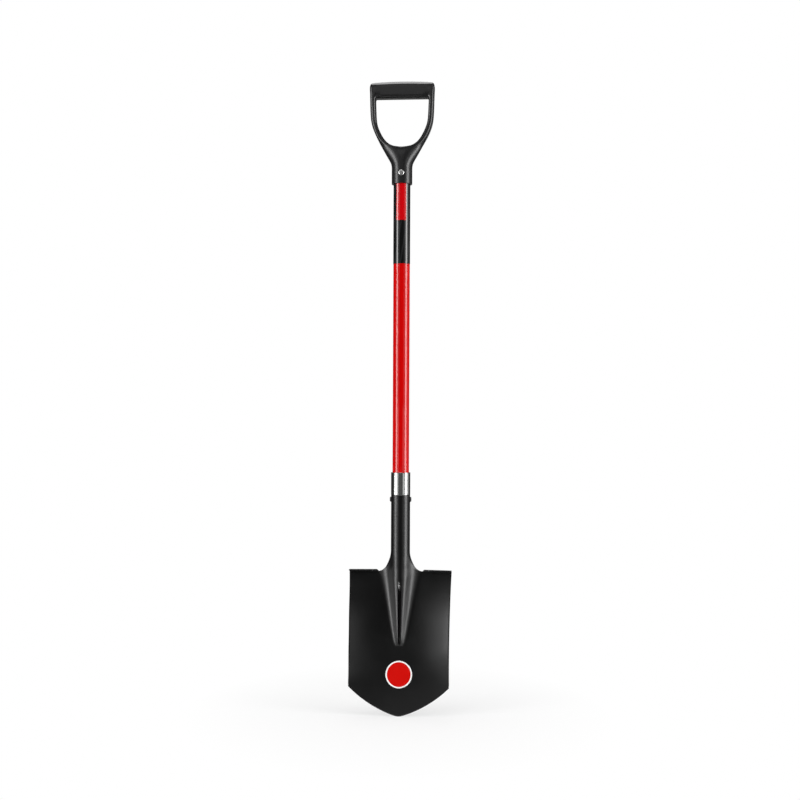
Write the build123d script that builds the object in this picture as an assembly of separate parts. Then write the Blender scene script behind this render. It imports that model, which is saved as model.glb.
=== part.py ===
from build123d import *
import os
from math import asin, cos, degrees, isclose, radians, sin, tan

# Pointed digging spade: pressed steel blade, fibreglass shaft, moulded D grip.
# Millimetres. Z runs up the shaft axis, the blade's hollow face looks along -Y.
# The origin is the hang point, the middle of the cross bar's underside.

# Shaft and what it holds
shaft_diameter = 31.4
shaft_wall = 4.0
shaft_bare_length = 395.0        # red stretch between sleeve and ferrule
core_clearance = 0.1             # between a core and the tube round it
lower_core_length = 96.0
upper_core_length = 60.0
sleeve_length = 151.5
sleeve_wall = 0.25
sleeve_clearance = 0.05          # between the sleeve and the shaft

# Grip, front view
bar_height = 31.0                # cross bar at mid length
bar_end_height = 28.4            # cross bar at its two ends
bar_half_length = 61.8
bar_corner_round = 7.0           # upper corners in the front view
grip_depth = 26.0                # bar and arms, front to back
opening_height = 93.0            # hand opening, from the bar down to the yoke
opening_half_width = 50.4        # at the bar
opening_knee_half_width = 49.0   # where the sides turn inwards
opening_knee_drop = 48.0
opening_knee_round = 60.0
opening_floor_half_width = 30.0  # between the sides' lower ends, before rounding
opening_floor_round = 34.0
opening_corner_round = 3.0       # between the sides and the bar
opening_bevel = 3.0
yoke_height = 34.0               # from the opening's floor to the grip socket
yoke_rim = 6.0                   # flat stretch of the yoke under the opening's floor
yoke_flat_drop = 3.0             # lower ends of the yoke's flats, below its foot
yoke_swell_radius = 30.0         # upper end of the round swelling inside the yoke
arm_bevel = 3.5                  # outer edges of bar, arms and yoke
arm_foot_inset = 1.5             # lower ends of the arms' outer lines, inside the socket
arm_knee_half_width = 59.65      # outside of the arms where they turn inwards
arm_knee_drop = 51.4
arm_knee_round = 84.0
grip_socket_length = 36.0
grip_socket_diameter = 39.0
grip_foot_chamfer = 0.8
grip_clearance = 0.15            # between the grip's bore and the shaft
shaft_grip_depth = 44.0          # how far the shaft reaches into the grip

# Grip screw, driven in from the front
screw_drop = 16.5                # below the yoke's foot
screw_head_diameter = 11.0
screw_head_height = 3.2
screw_head_chamfer = 1.2
screw_head_sink = 1.6            # counterbore under the head
screw_shank_diameter = 4.8
screw_length = 26.0
screw_recess_width = 1.5
screw_recess_span = 6.0
screw_recess_depth = 1.6
screw_clearance = 0.1

# Ferrule, a collar that stands on the rim of the blade's socket
ferrule_length = 42.4
ferrule_diameter = 36.6
ferrule_clearance = 0.15

# Blade sheet and its rolled socket
sheet = 2.0
socket_clearance = 0.2           # between the socket's bore and the shaft
socket_lap = 0.1                 # by which the rolled tube overlaps the pressing's walls
socket_lap_length = 2.0
socket_length = 148.8            # from the rim to the fold line of the treads
socket_mouth_start = 1.5         # open back of the tube, behind the shaft axis
socket_mouth_height = 26.0       # how far the open back runs up the tube
socket_mouth_fall = 16.0         # how far it runs down the neck
neck_height = 34.0               # flare from the tube to the treads
neck_reach = 46.0                # half width where the flare meets the fold line
shaft_socket_depth = 84.0        # how far the shaft reaches into the socket

# Blade, front view, below the fold line
blade_length = 263.5
blade_half_width = 97.2          # at the treads
blade_waist_half_width = 93.8
blade_waist_drop = 122.0
corner_half_width = 94.4
corner_drop = 206.0
corner_round = 7.0
point_round = 18.0
point_edge_bow = 7.0             # bulge of each lower edge beyond a straight line

# Blade, pressed form
blade_lift = 10.0                # degrees between blade and shaft
blade_set_back = 6.7             # front of the sheet behind the shaft axis, at the fold line
dish_depth = 5.5                 # how far the sides stand forward of the middle
frog_length = 137.0              # swelling below the fold line
frog_run_out = 9.0
frog_flank_slope = 50.0          # degrees
frog_end_rise = 5.5
frog_end_crest = 5.0             # radius of the crest at the lower end
frog_top_foot = 10.0             # radius between flank and blade at the fold line
frog_end_foot = 3.0
flat_top = 6.0                   # flat stretch beside the frog at the fold line
flat_end = 20.0                  # flat stretch beside the frog's lower end
groove_start_drop = 24.0         # crease along the crest
groove_run_in = 14.0
groove_half_width = 2.5
groove_floor_half_width = 0.9
groove_depth = 3.4
tread_width = 9.0                # forward reach of the folded tread
tread_bend = 2.2                 # inner radius of the fold
tread_start = 48.0               # half width where the tread begins
trim_margin = 12.0               # surplus sheet that the outline trims away

# Rivet through socket, shaft and lower core
rivet_drop = 9.0                 # below the socket's rim
rivet_diameter = 6.0
rivet_head_diameter = 9.6
rivet_head_height = 2.3
rivet_head_chamfer = 1.6
rivet_clearance = 0.1

# Round sticker on the blade
sticker_diameter = 53.0
sticker_thickness = 0.25
sticker_rise = 18.75             # its middle above halfway from the frog's end to the tip

# Places that follow from the sizes
shaft_radius = shaft_diameter / 2
core_radius = shaft_radius - shaft_wall - core_clearance
socket_bore_radius = shaft_radius + socket_clearance
crest_radius = socket_bore_radius + socket_lap + sheet
socket_radius = crest_radius + socket_lap
grip_socket_radius = grip_socket_diameter / 2
yoke_foot = -(opening_height + yoke_height)
yoke_top = -(opening_height + yoke_rim)
yoke_crown = -(opening_height + yoke_rim / 2)
grip_foot = yoke_foot - grip_socket_length
screw_level = yoke_foot - screw_drop
sleeve_foot = grip_foot - sleeve_length
ferrule_top = sleeve_foot - shaft_bare_length
socket_rim = ferrule_top - ferrule_length
fold_line = socket_rim - socket_length
neck_top = fold_line + neck_height
lap_top = neck_top + socket_lap_length
tip = fold_line - blade_length
shaft_top = grip_foot + shaft_grip_depth
shaft_foot = socket_rim - shaft_socket_depth
rivet_level = socket_rim - rivet_drop
frog_end = fold_line - frog_length
frog_vanish = frog_end - frog_run_out
groove_start = fold_line - groove_start_drop
groove_full = groove_start - groove_run_in
sticker_level = (frog_vanish + tip) / 2 + sticker_rise


def tube(outer_radius, inner_radius, low, high):
    """Plain round tube standing on the shaft axis."""
    ring = Circle(outer_radius) - Circle(inner_radius)
    return extrude(Plane.XY.offset(low) * ring, high - low)


def rod_along_z(radius, low, high):
    """Round rod standing on the shaft axis."""
    return extrude(Plane.XY.offset(low) * Circle(radius), high - low)


def rod_along_x(radius, half_length, level):
    """Round rod across the shaft axis, left to right."""
    return extrude(Plane.YZ * Pos(0, level) * Circle(radius), half_length, both=True)


def rod_along_y(radius, front, back, level):
    """Round rod across the shaft axis, front to back."""
    return extrude(Plane.XZ.offset(-back) * Pos(0, level) * Circle(radius), back - front)


def symmetric_sketch(right_edges):
    """Closed sketch of the front view from the edges of its right half."""
    return make_face(right_edges + [edge.mirror(Plane.YZ) for edge in right_edges])


def cut_through(sketch, half_depth):
    """Front view sketch driven through the object from front to back."""
    return extrude(Plane.XZ * sketch, half_depth, both=True)


# Blade

def plate_front(level):
    """Y of the sheet's front, beside the frog, at a height."""
    return blade_set_back + (level - fold_line) * tan(radians(blade_lift))


def frog_size(level):
    """Rise, crest radius and foot radius of the frog, tapering evenly to its end."""
    share = (fold_line - level) / frog_length
    top_rise = blade_set_back + crest_radius
    rise = top_rise + (frog_end_rise - top_rise) * share
    crest = crest_radius + (frog_end_crest - crest_radius) * share
    foot = frog_top_foot + (frog_end_foot - frog_top_foot) * share
    return rise, crest, foot


def flat_width(level):
    """Width of the flat stretch between the frog's foot and the dished wing."""
    return flat_top + (flat_end - flat_top) * (fold_line - level) / frog_length


def foot_reach(rise, crest, foot, slope):
    """Half width of the frog where its foot runs out into the blade."""
    flank = (rise - (crest + foot) * (1 - cos(slope))) / sin(slope)
    return (crest + foot) * sin(slope) + flank * cos(slope)


class SheetCurve:
    """Right half of one side of the sheet's cross-section, from the middle outwards.

    x runs to the right and n forward of the plate. depth is the distance behind the
    sheet's front. Arcs keep their centres, so two curves of one level run parallel.
    """

    def __init__(self, level, wing_start, depth):
        self.level = level
        self.wing_start = wing_start
        self.depth = depth
        wing_span = blade_half_width - wing_start
        self.wing_radius = (wing_span ** 2 + dish_depth ** 2) / (2 * dish_depth)
        self.wing_angle = asin((wing_span + trim_margin) / self.wing_radius)
        self.edges = []

    def place(self, spot):
        x, n = spot
        return Vector(x, plate_front(self.level) - n, self.level)

    def line(self, start, end):
        self.edges.append(Edge.make_line(self.place(start), self.place(end)))

    def arc(self, start, middle, end):
        spots = [self.place(spot) for spot in (start, middle, end)]
        self.edges.append(Edge.make_three_point_arc(*spots))

    def wing_point(self, angle):
        radius = self.wing_radius + self.depth
        return self.wing_start + radius * sin(angle), self.wing_radius - radius * cos(angle)

    def wing(self):
        middle = self.wing_point(self.wing_angle / 2)
        self.arc(self.wing_point(0), middle, self.wing_point(self.wing_angle))


def frog_curve(level, sizes, slope, depth, creased):
    """Right half of one side of the sheet where the frog stands."""
    rise, crest, foot = sizes
    reach = foot_reach(rise, crest, foot, slope)
    curve = SheetCurve(level, reach + flat_width(level), depth)
    bend_radius = crest - depth
    foot_radius = foot + depth

    def crest_point(angle):
        return bend_radius * sin(angle), rise - crest + bend_radius * cos(angle)

    def foot_point(angle):
        return reach - foot_radius * sin(angle), foot - foot_radius * cos(angle)

    flank_foot = foot_point(slope)
    lip_angle = asin(groove_half_width / crest)
    floor_angle = asin(groove_floor_half_width / crest)
    if creased and depth > 0:
        ridge = rise - groove_depth - depth
        flank_top = (flank_foot[0] - (ridge - flank_foot[1]) / tan(slope), ridge)
        lip = (flank_top[0] * 2 / 3, ridge)
        floor = (flank_top[0] / 3, ridge)
        curve.line((0, ridge), floor)
        curve.line(floor, lip)
        curve.line(lip, flank_top)
    else:
        flank_top = crest_point(slope)
        lip = crest_point(lip_angle)
        if creased:
            floor = (groove_floor_half_width, lip[1] - groove_depth)
            curve.line((0, floor[1]), floor)
            curve.line(floor, lip)
        else:
            floor = crest_point(floor_angle)
            curve.arc(crest_point(0), crest_point(floor_angle / 2), floor)
            curve.arc(floor, crest_point((floor_angle + lip_angle) / 2), lip)
        curve.arc(lip, crest_point((lip_angle + slope) / 2), flank_top)
    curve.line(flank_top, flank_foot)
    curve.arc(flank_foot, foot_point(slope / 2), foot_point(0))
    curve.line(foot_point(0), curve.wing_point(0))
    curve.wing()
    return curve.edges


def plain_curve(level, depth):
    """Right half of one side of the sheet below the frog, with as many edges."""
    slope = radians(frog_flank_slope)
    reach = foot_reach(frog_end_rise, frog_end_crest, frog_end_foot, slope)
    curve = SheetCurve(level, reach + flat_end, depth)
    steps = [0, groove_floor_half_width, groove_half_width]
    spare = (reach - groove_half_width) / 3
    steps += [groove_half_width + spare, groove_half_width + 2 * spare, reach, curve.wing_start]
    for start, end in zip(steps, steps[1:]):
        curve.line((start, -depth), (end, -depth))
    curve.wing()
    return curve.edges


def closed_section(front, back):
    """Closed cross-section of a sheet from the right halves of its two sides."""
    right_end = Edge.make_line(front[-1] @ 1, back[-1] @ 1)
    right = front + [right_end] + back[::-1]
    left = [edge.mirror(Plane.YZ) for edge in right[::-1]]
    return Wire(right + left)


def frog_section(level, sizes, slope, creased):
    return closed_section(*[frog_curve(level, sizes, slope, depth, creased) for depth in (0, sheet)])


def plain_section(level):
    return closed_section(*[plain_curve(level, depth) for depth in (0, sheet)])


def make_pressing():
    """Pressed sheet from the neck to beyond the tip, before its outline is cut."""
    slope = radians(frog_flank_slope)
    neck_sizes = (plate_front(neck_top) + crest_radius, crest_radius, frog_top_foot)
    lap_sizes = (plate_front(lap_top) + crest_radius, crest_radius, frog_top_foot)
    sections = [
        frog_section(lap_top, lap_sizes, radians(90), False),
        frog_section(neck_top, neck_sizes, radians(90), False),
        frog_section(fold_line, frog_size(fold_line), slope, False),
        frog_section(groove_start, frog_size(groove_start), slope, False),
        frog_section(groove_full, frog_size(groove_full), slope, True),
        frog_section(frog_end, frog_size(frog_end), slope, True),
        plain_section(frog_vanish),
        plain_section(tip - trim_margin),
    ]
    return Solid.make_loft(sections, ruled=True)


def make_blade_outline():
    """Front view of the sheet: neck, fold line, sides and point."""
    corner = Vector(corner_half_width, fold_line - corner_drop)
    point = Vector(0, tip)
    lower_edge = point - corner
    bulge = Vector(-lower_edge.Y, lower_edge.X).normalized() * point_edge_bow
    waist = (blade_waist_half_width, fold_line - blade_waist_drop)
    flare_pull = (socket_radius, (neck_top + fold_line) / 2)
    edges = [
        Line((0, lap_top), (socket_radius, lap_top)),
        Line((socket_radius, lap_top), (socket_radius, neck_top)),
        Bezier((socket_radius, neck_top), flare_pull, (neck_reach, fold_line)),
        Line((neck_reach, fold_line), (blade_half_width, fold_line)),
        ThreePointArc((blade_half_width, fold_line), waist, corner),
        ThreePointArc(corner, (corner + point) / 2 + bulge, point),
    ]
    sketch = symmetric_sketch(edges)
    rows = sketch.vertices().group_by(Axis.Y)
    sketch = fillet(rows[1], corner_round)
    return fillet(sketch.vertices().sort_by(Axis.Y)[0], point_round)


def make_tread():
    """Right foot tread: the sheet's upper edge folded forward, following the dish."""
    wing_start = foot_reach(*frog_size(fold_line), radians(frog_flank_slope)) + flat_top
    front = SheetCurve(fold_line, wing_start, 0).wing_radius
    bend = front - tread_bend
    bend_outside = tread_bend + sheet
    top = fold_line + bend_outside
    under = top - sheet
    free_edge = front - tread_width
    half_turn = cos(radians(45))
    profile = [
        Line((front, fold_line), (front + sheet, fold_line)),
        ThreePointArc(
            (front + sheet, fold_line),
            (bend + bend_outside * half_turn, fold_line + bend_outside * half_turn),
            (bend, top),
        ),
        Line((bend, top), (free_edge, top)),
        Line((free_edge, top), (free_edge, under)),
        Line((free_edge, under), (bend, under)),
        ThreePointArc(
            (bend, under),
            (bend + tread_bend * half_turn, fold_line + tread_bend * half_turn),
            (front, fold_line),
        ),
    ]
    start = asin((tread_start - wing_start) / front)
    end = asin((blade_half_width - wing_start) / front)
    centre = (wing_start, plate_front(fold_line) - front, 0)
    radial = Plane(centre, x_dir=(sin(start), cos(start), 0), z_dir=(cos(start), -sin(start), 0))
    return revolve(radial * make_face(profile), Axis(centre, (0, 0, -1)), degrees(end - start))


def make_socket_mouth():
    """Wedge that opens the tube and the neck towards the back."""
    back = socket_radius + sheet
    profile = Polyline(
        (socket_mouth_start, neck_top),
        (back, neck_top + socket_mouth_height),
        (back, neck_top - socket_mouth_fall),
        close=True,
    )
    return extrude(Plane.YZ * make_face(profile), neck_reach, both=True)


def make_blade():
    reach_through = blade_length + socket_length
    pressing = make_pressing() & cut_through(make_blade_outline(), reach_through)
    tread = make_tread()
    socket = tube(socket_radius, socket_bore_radius, neck_top, socket_rim)
    rolled = socket + pressing - make_socket_mouth() - make_rivet_hole()
    return rolled + tread + mirror(tread, Plane.YZ)


def make_sticker():
    """Thin disc on the flat of the blade's front."""
    lift = radians(blade_lift)
    middle = (0, plate_front(sticker_level), sticker_level)
    front = Plane(middle, x_dir=(1, 0, 0), z_dir=(0, -cos(lift), sin(lift)))
    return extrude(front * Circle(sticker_diameter / 2), sticker_thickness)


# Fixings at the socket

def make_ferrule():
    """Collar that stands on the socket's rim."""
    return tube(ferrule_diameter / 2, shaft_radius + ferrule_clearance, socket_rim, ferrule_top)


def make_rivet():
    """Through rivet: plain pin with a head seated on either side of the socket."""
    pin = rod_along_x(rivet_diameter / 2, socket_radius, rivet_level)
    heads = rod_along_x(rivet_head_diameter / 2, socket_radius + rivet_head_height, rivet_level)
    heads = chamfer(heads.edges().filter_by(GeomType.CIRCLE), rivet_head_chamfer)
    return heads - rod_along_z(socket_radius, neck_top, socket_rim) + pin


def make_rivet_hole():
    return rod_along_x(rivet_diameter / 2 + rivet_clearance, socket_radius + sheet, rivet_level)


# Shaft

def make_shaft():
    shaft = tube(shaft_radius, shaft_radius - shaft_wall, shaft_foot, shaft_top)
    return shaft - make_rivet_hole() - make_screw_hole()


def make_lower_core():
    core = rod_along_z(core_radius, shaft_foot, shaft_foot + lower_core_length)
    return core - make_rivet_hole()


def make_upper_core():
    return rod_along_z(core_radius, shaft_top - upper_core_length, shaft_top) - make_screw_hole()


def make_sleeve():
    inner = shaft_radius + sleeve_clearance
    return tube(inner + sleeve_wall, inner, sleeve_foot, grip_foot)


# Grip

def screw_seat():
    """Y of the face that the screw head sits on."""
    return screw_head_sink - grip_socket_radius


def make_screw_hole():
    radius = screw_shank_diameter / 2 + screw_clearance
    seat = screw_seat()
    return rod_along_y(radius, seat, seat + screw_length + screw_clearance, screw_level)


def make_plate():
    """Plate of bar, arms and yoke, bevelled along its outer edges, not yet opened."""
    foot = (grip_socket_radius - arm_foot_inset, yoke_foot)
    knee = (arm_knee_half_width, -arm_knee_drop)
    shoulder = (bar_half_length, bar_end_height)
    edges = [
        Line((0, yoke_foot), foot),
        Line(foot, knee),
        Line(knee, shoulder),
    ]
    crown = ThreePointArc((-bar_half_length, bar_end_height), (0, bar_height), shoulder)
    sketch = make_face(edges + [edge.mirror(Plane.YZ) for edge in edges] + [crown])
    sketch = fillet(sketch.vertices().group_by(Axis.Y)[-1], bar_corner_round)
    knees = sketch.vertices().filter_by(lambda spot: isclose(spot.Y, -arm_knee_drop))
    plate = cut_through(fillet(knees, arm_knee_round), grip_depth / 2)
    faces = plate.faces().sort_by(Axis.Y)
    rims = faces[0].edges() + faces[-1].edges()
    return chamfer(rims.filter_by(lambda edge: not isclose(edge.center().Z, yoke_foot)), arm_bevel)


def yoke_half_depth(level):
    """Half depth between the yoke's two flats, which lean in from the socket to the plate."""
    taper = (grip_socket_radius - grip_depth / 2) / (yoke_top - yoke_foot + yoke_flat_drop)
    return grip_depth / 2 + (yoke_top - level) * taper


def make_grip_socket():
    """Socket for the shaft, swelling upwards into the yoke between the two flats."""
    outline = Polyline(
        (0, grip_foot),
        (grip_socket_radius - grip_foot_chamfer, grip_foot),
        (grip_socket_radius, grip_foot + grip_foot_chamfer),
        (grip_socket_radius, yoke_foot),
        (yoke_swell_radius, yoke_crown),
        (0, yoke_crown),
        close=True,
    )
    turned = revolve(Plane.XZ * make_face(outline), Axis.Z)
    low, high = grip_foot - yoke_height, yoke_crown
    wedge = Polyline(
        (yoke_half_depth(low), low),
        (yoke_half_depth(high), high),
        (-yoke_half_depth(high), high),
        (-yoke_half_depth(low), low),
        close=True,
    )
    return turned & extrude(Plane.YZ * make_face(wedge), bar_half_length, both=True)


def make_opening():
    """Hand opening: sides that turn inwards at a knee and round off into a flat floor."""
    edges = [
        Line((0, 0), (opening_half_width, 0)),
        Line((opening_half_width, 0), (opening_knee_half_width, -opening_knee_drop)),
        Line((opening_knee_half_width, -opening_knee_drop), (opening_floor_half_width, -opening_height)),
        Line((opening_floor_half_width, -opening_height), (0, -opening_height)),
    ]
    sketch = symmetric_sketch(edges)
    rows = sketch.vertices().group_by(Axis.Y)
    sketch = fillet(rows[0].sort_by(Axis.X)[0::2], opening_floor_round)
    sketch = fillet(sketch.vertices().group_by(Axis.Y)[-1].sort_by(Axis.X)[0::2], opening_corner_round)
    knees = sketch.vertices().filter_by(lambda spot: isclose(spot.Y, -opening_knee_drop))
    return cut_through(fillet(knees, opening_knee_round), grip_socket_diameter)


def make_grip():
    """One moulding: cross bar, two arms, yoke and the socket for the shaft."""
    plate = make_plate()
    opening = make_opening()
    arms = plate - opening
    edges = new_edges(plate, opening, combined=arms)
    rims = edges.filter_by(lambda edge: isclose(abs(edge.center().Y), grip_depth / 2))
    grip = chamfer(rims, opening_bevel) + make_grip_socket()
    grip -= rod_along_z(shaft_radius + grip_clearance, grip_foot, shaft_top)
    head_room = screw_head_diameter / 2 + screw_clearance
    grip -= rod_along_y(head_room, -grip_socket_diameter, screw_seat(), screw_level)
    return grip - make_screw_hole()


def make_screw():
    """Pan head screw with a cross recess."""
    seat = screw_seat()
    front = seat - screw_head_height
    head = rod_along_y(screw_head_diameter / 2, front, seat, screw_level)
    head = chamfer(head.edges().sort_by(Axis.Y)[0], screw_head_chamfer)
    slot = Box(screw_recess_span, 2 * screw_recess_depth, screw_recess_width)
    for turn in (0, 90):
        head -= Pos(0, front, screw_level) * Rot(0, turn, 0) * slot
    return head + rod_along_y(screw_shank_diameter / 2, seat, seat + screw_length, screw_level)


pieces = {
    "blade": make_blade(),
    "blade_sticker": make_sticker(),
    "socket_ferrule": make_ferrule(),
    "socket_rivet": make_rivet(),
    "shaft_tube": make_shaft(),
    "shaft_lower_core": make_lower_core(),
    "shaft_upper_core": make_upper_core(),
    "shaft_sleeve": make_sleeve(),
    "d_grip": make_grip(),
    "grip_screw": make_screw(),
}

os.makedirs("parts", exist_ok=True)
for name, shape in pieces.items():
    export_step(shape, f"parts/{name}.step")
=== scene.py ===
from math import atan2, cos, hypot, pi, radians, sin, sqrt, tan

import bmesh
import bpy
from bpy.props import FloatProperty, FloatVectorProperty, IntProperty, PointerProperty
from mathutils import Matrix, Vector


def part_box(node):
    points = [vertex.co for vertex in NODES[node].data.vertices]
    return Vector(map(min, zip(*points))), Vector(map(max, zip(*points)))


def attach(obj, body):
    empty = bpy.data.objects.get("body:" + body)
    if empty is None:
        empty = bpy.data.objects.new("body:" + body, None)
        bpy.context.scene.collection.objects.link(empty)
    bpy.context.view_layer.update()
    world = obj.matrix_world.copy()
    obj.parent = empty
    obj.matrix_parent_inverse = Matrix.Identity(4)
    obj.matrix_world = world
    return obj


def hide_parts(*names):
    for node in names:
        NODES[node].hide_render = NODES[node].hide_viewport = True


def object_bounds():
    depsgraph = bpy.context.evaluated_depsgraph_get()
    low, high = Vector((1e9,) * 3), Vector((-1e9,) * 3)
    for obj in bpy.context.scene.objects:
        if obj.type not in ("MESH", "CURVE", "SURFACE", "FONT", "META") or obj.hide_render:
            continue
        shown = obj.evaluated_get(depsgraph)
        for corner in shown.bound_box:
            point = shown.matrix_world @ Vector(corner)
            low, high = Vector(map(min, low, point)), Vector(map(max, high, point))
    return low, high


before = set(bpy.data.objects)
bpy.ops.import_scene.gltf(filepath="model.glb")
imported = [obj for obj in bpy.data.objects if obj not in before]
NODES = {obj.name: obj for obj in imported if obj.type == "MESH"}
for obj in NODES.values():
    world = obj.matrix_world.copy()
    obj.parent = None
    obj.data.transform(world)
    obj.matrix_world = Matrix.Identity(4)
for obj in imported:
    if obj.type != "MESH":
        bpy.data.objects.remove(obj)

bl_info = {
    "name": "Digging spade",
    "version": (1, 0, 0),
    "blender": (4, 5, 0),
    "location": "View3D > Sidebar > Spade",
    "description": "Dresses a pointed digging spade: sheet blade, ferrule, shaft and moulded grip",
    "category": "Object",
}

CAD_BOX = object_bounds()
SOCKET_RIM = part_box("blade")[1].z
FERRULE_LOW, FERRULE_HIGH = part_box("socket_ferrule")
SHAFT_LOW, SHAFT_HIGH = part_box("shaft_tube")
SLEEVE_LOW, SLEEVE_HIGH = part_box("shaft_sleeve")
SCREW_LOW, SCREW_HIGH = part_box("grip_screw")
RIVET_LOW, RIVET_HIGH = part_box("socket_rivet")
STICKER_LOW, STICKER_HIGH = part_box("blade_sticker")

# Mesh of the blade: columns of half a row, and rows of each stretch
CREASE_COLUMNS, FROG_COLUMNS, WING_COLUMNS = 9, 22, 31
BLADE_ROWS, NECK_ROWS, MOUTH_ROWS, SOCKET_ROWS, TREAD_ROWS = 96, 24, 14, 10, 14

SAME_SPOT = 2e-6    # points nearer than this are one point
SEAM = 1e-5         # points nearer than this are merged along a seam
SHARP = 1.0         # least angle between the faces at a rim, in radians

# Grain of each surface: fine scale, patch scale, least and most roughness, then the output that
# lifts the surface, with its strength and depth
GRAIN = {
    "Blade coat": (900.0, 14.0, 0.29, 0.35, "Height", 0.12, 0.0004),
    "Grip plastic": (1400.0, 22.0, 0.28, 0.34, "Height", 0.10, 0.0003),
    "Shaft fibreglass": (700.0, 60.0, 0.03, 0.06, "Height", 0.005, 0.0003),
    "Sleeve film": (600.0, 30.0, 0.06, 0.10, "Patches", 0.05, 0.0006),
    "Sticker film": (800.0, 40.0, 0.32, 0.40, "Height", 0.04, 0.0002),
    "Ferrule metal": (420.0, 130.0, 0.09, 0.14, "Patches", 0.08, 0.0006),
    "Rivet steel": (700.0, 160.0, 0.34, 0.46, "Height", 0.15, 0.0003),
    "Screw zinc": (900.0, 260.0, 0.24, 0.34, "Height", 0.06, 0.0002),
    "Core wood": (500.0, 90.0, 0.6, 0.8, "Height", 0.2, 0.0003),
}

# Name, azimuth in degrees, height, distance from the shaft, size, brightness, height aimed at
LAMPS = (
    ("right_softbox", 73, -0.3, 2.1, (0.90, 2.5), 5.3, -0.3),
    ("right_panel", 75, -0.3, 2.1, (3.6, 2.5), 0.36, -0.3),
    ("left_softbox", -59, -0.3, 2.1, (0.72, 2.5), 5.6, -0.3),
    ("left_panel", -55, -0.3, 2.1, (2.4, 2.5), 0.36, -0.3),
    ("right_fill", 37, -0.92, 2.1, (0.80, 0.65), 0.40, -0.92),
    ("left_fill", -37, -0.92, 2.1, (0.80, 0.65), 0.60, -0.92),
    ("low_front_panel", 0, -0.885, 2.1, (1.5, 0.12), 0.11, -0.73),
    ("front_panel", -4, 0.95, 2.3, (1.4, 0.85), 0.7, 0.0),
    ("overhead", -150, 1.6, 0.3, (1.4, 1.5), 3.4, 0.0),
)


def property_of(kind, **fixed):
    """Maker of one kind of property from its name, description and default."""
    return lambda name, description, default: kind(name=name, description=description, default=default, **fixed)


length = property_of(FloatProperty, unit="LENGTH", precision=5)
angle = property_of(FloatProperty, unit="ROTATION")
share = property_of(FloatProperty, subtype="FACTOR", min=0, max=1)
power = property_of(FloatProperty, min=1, max=6)
tint = property_of(FloatVectorProperty, subtype="COLOR", size=3, min=0, max=1)


class BladeSizes(bpy.types.PropertyGroup):
    """Sheet blade with frog, treads, neck and socket."""

    sheet: length("Sheet", "Thickness of the steel", 0.002)
    edge_soften: length("Edge soften", "Rounding of the sheet's cut edges", 0.0005)
    fold: length("Fold line", "Height of the fold of the treads", -0.8985)
    tip: length("Tip", "Height of the point before rounding", -1.1642)
    half_width: length("Half width", "Half width at the treads", 0.0972)
    waist: length("Waist", "Half width at the waist", 0.0938)
    waist_drop: length("Waist drop", "Waist below the fold line", 0.1242)
    corner: length("Corner", "Half width at the lower corners", 0.0944)
    corner_drop: length("Corner drop", "Lower corners below the fold line", 0.2082)
    corner_round: length("Corner round", "Radius of the lower corners", 0.007)
    edge_bow: length("Edge bow", "Bulge of each lower edge", 0.007)
    tip_soften: length("Tip soften", "How blunt the point is", 0.006)
    lift: angle("Lift", "Angle between blade and shaft", radians(10.0))
    set_back: length("Set back", "Sheet behind the shaft axis at the fold line", 0.0071)
    dish: length("Dish", "How far the sides stand forward", 0.0190)
    dish_start: length("Dish start", "Half width of the flat middle", 0.012)
    dish_run: length("Dish run", "Drop over which the dish deepens", 0.09)
    dish_top: share("Dish top", "Share of the dish at the fold line", 0.30)
    dish_fade: length("Dish fade", "Drop where the dish begins to flatten", 0.135)
    dish_fade_run: length("Dish fade run", "Drop over which the dish flattens", 0.073)
    dish_low: share("Dish low", "Share of the dish at the corners", 0.475)
    frog_length: length("Frog length", "Swelling below the fold line", 0.1367)
    frog_end: length("Frog end", "Rounded lower end of the lobes", 0.015)
    frog_slope: angle("Frog slope", "Flank slope at the fold line", radians(53.0))
    frog_slope_end: angle("Frog end slope", "Flank slope at the lower end", radians(39.0))
    frog_rise: length("Frog end rise", "Frog's height at its lower end", 0.0055)
    frog_crest: length("Frog end crest", "Crest's radius at the lower end", 0.005)
    foot_top: length("Foot radius, top", "Between flank and blade at the fold line", 0.025)
    foot_flare: length("Foot flare", "Wider foot close to the fold line", 0.008)
    foot_end: length("Foot radius, end", "Between flank and blade at the lower end", 0.0085)
    lobe: length("Lobe", "Half width of a lobe's rounded end", 0.0075)
    lobe_place: length("Lobe place", "Lobe's middle beside the crease", 0.0048)
    lobe_point: length("Lobe point", "How far a lobe's end stands out", 0.006)
    # Place of the pale flecks at the crease's top: bare welded steel whose light grey is a painted highlight for its
    # glints
    weld: length("Weld", "Half length of the weld's bare flecks", 0.008)
    weld_glint_drop: length("Weld drop", "Bare flecks below the fold line", 0.0237)
    groove_start: length("Groove start", "Top of the crease below the fold line", 0.0212)
    groove_run: length("Groove run", "Drop over which the crease deepens", 0.014)
    groove_depth: length("Groove depth", "Depth of the crease", 0.0056)
    groove_half: length("Groove half width", "Half width of the crease", 0.0028)
    even_run: length("Even run", "Drop over which the columns even out", 0.07)
    tread: length("Tread", "Forward reach of the treads", 0.009)
    tread_bend: length("Tread bend", "Radius of the fold", 0.0018)
    tread_full: length("Tread full", "Half width where a tread is whole", 0.056)
    neck: length("Neck", "Height of the flare", 0.0398)
    neck_reach: length("Neck reach", "Half width where a tread begins", 0.0415)
    neck_wrap: angle("Neck wrap", "Turn from the front to its upper edge", radians(96.0))
    neck_flare: power("Neck flare", "How late the flare spreads", 2.0)
    neck_round: share("Neck round", "How straight it leaves the tread", 0.68)
    mouth: length("Mouth", "Open back above the neck", 0.026)
    socket: length("Socket radius", "Outer radius of the rolled socket", 0.0181)


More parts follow.
